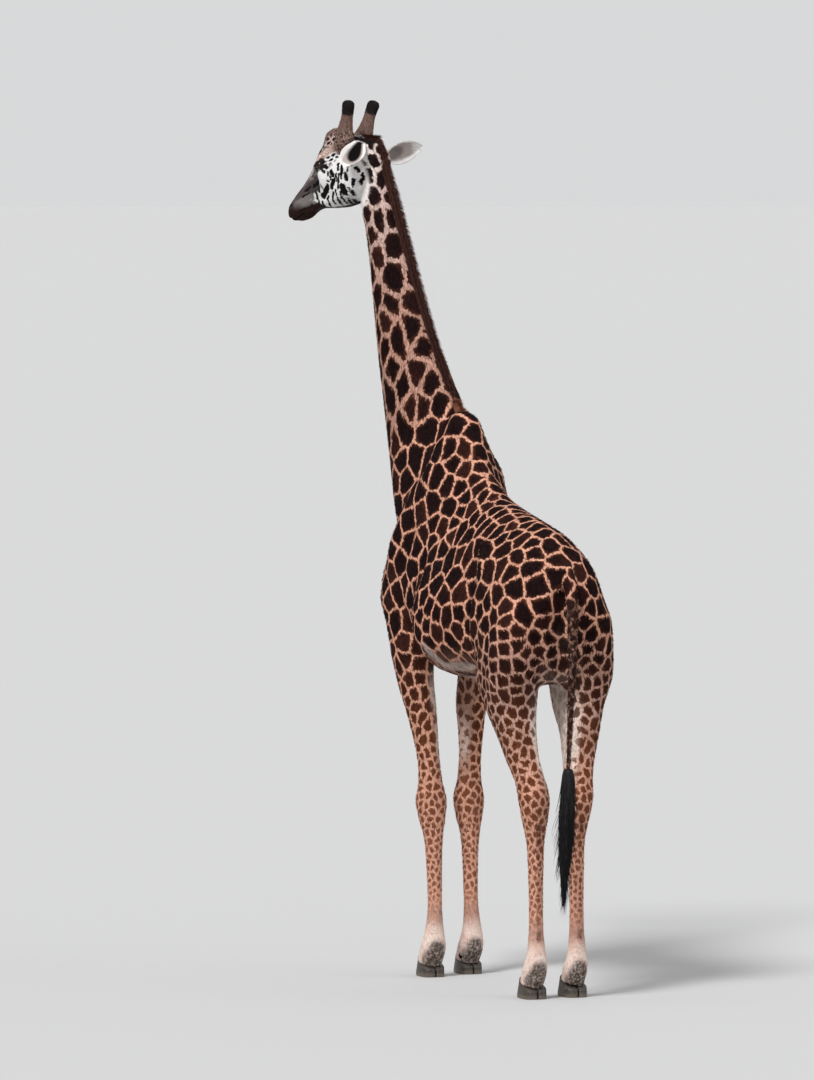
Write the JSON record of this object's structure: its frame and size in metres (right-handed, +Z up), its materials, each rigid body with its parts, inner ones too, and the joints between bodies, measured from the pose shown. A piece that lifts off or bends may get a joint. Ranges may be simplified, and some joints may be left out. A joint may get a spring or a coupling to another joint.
{
  "type": "giraffe figure",
  "caption": "Life-size standing Masai giraffe, head turned to its left, with spotted coat, mane, tufted tail and two horns.",
  "frame": {"origin": "middle of the bounding box at floor level, under the animal", "axes": "+Z up, the animal faces -Y, its left side is +X"},
  "size_m": [0.8186, 2.9594, 4.4525],
  "materials": {
    "hide": "short smooth coat",
    "ear_hide": "short pale coat",
    "horn_hide": "short dark coat",
    "mane_hair": "stiff upright hair",
    "tail_hair": "long coarse hair",
    "hoof_horn": "worn horn",
    "eye": "wet, glossy"
  },
  "bodies": {
    "root": {"claw_foreleg_left_inner": "hoof_horn", "claw_foreleg_left_outer": "hoof_horn", "claw_foreleg_right_inner": "hoof_horn", "claw_foreleg_right_outer": "hoof_horn", "claw_hindleg_left_inner": "hoof_horn", "claw_hindleg_left_outer": "hoof_horn", "claw_hindleg_right_inner": "hoof_horn", "claw_hindleg_right_outer": "hoof_horn", "ear_left": "ear_hide", "ear_right": "ear_hide", "eye_left": "eye", "eye_right": "eye", "foreleg_left": "hide", "foreleg_right": "hide", "head": "hide", "hindleg_left": "hide", "hindleg_right": "hide", "mane": "mane_hair", "neck": "hide", "ossicone_left": "horn_hide", "ossicone_right": "horn_hide", "tail": "hide", "tail_tuft": "tail_hair", "trunk": "hide"}
  },
  "joints": []
}
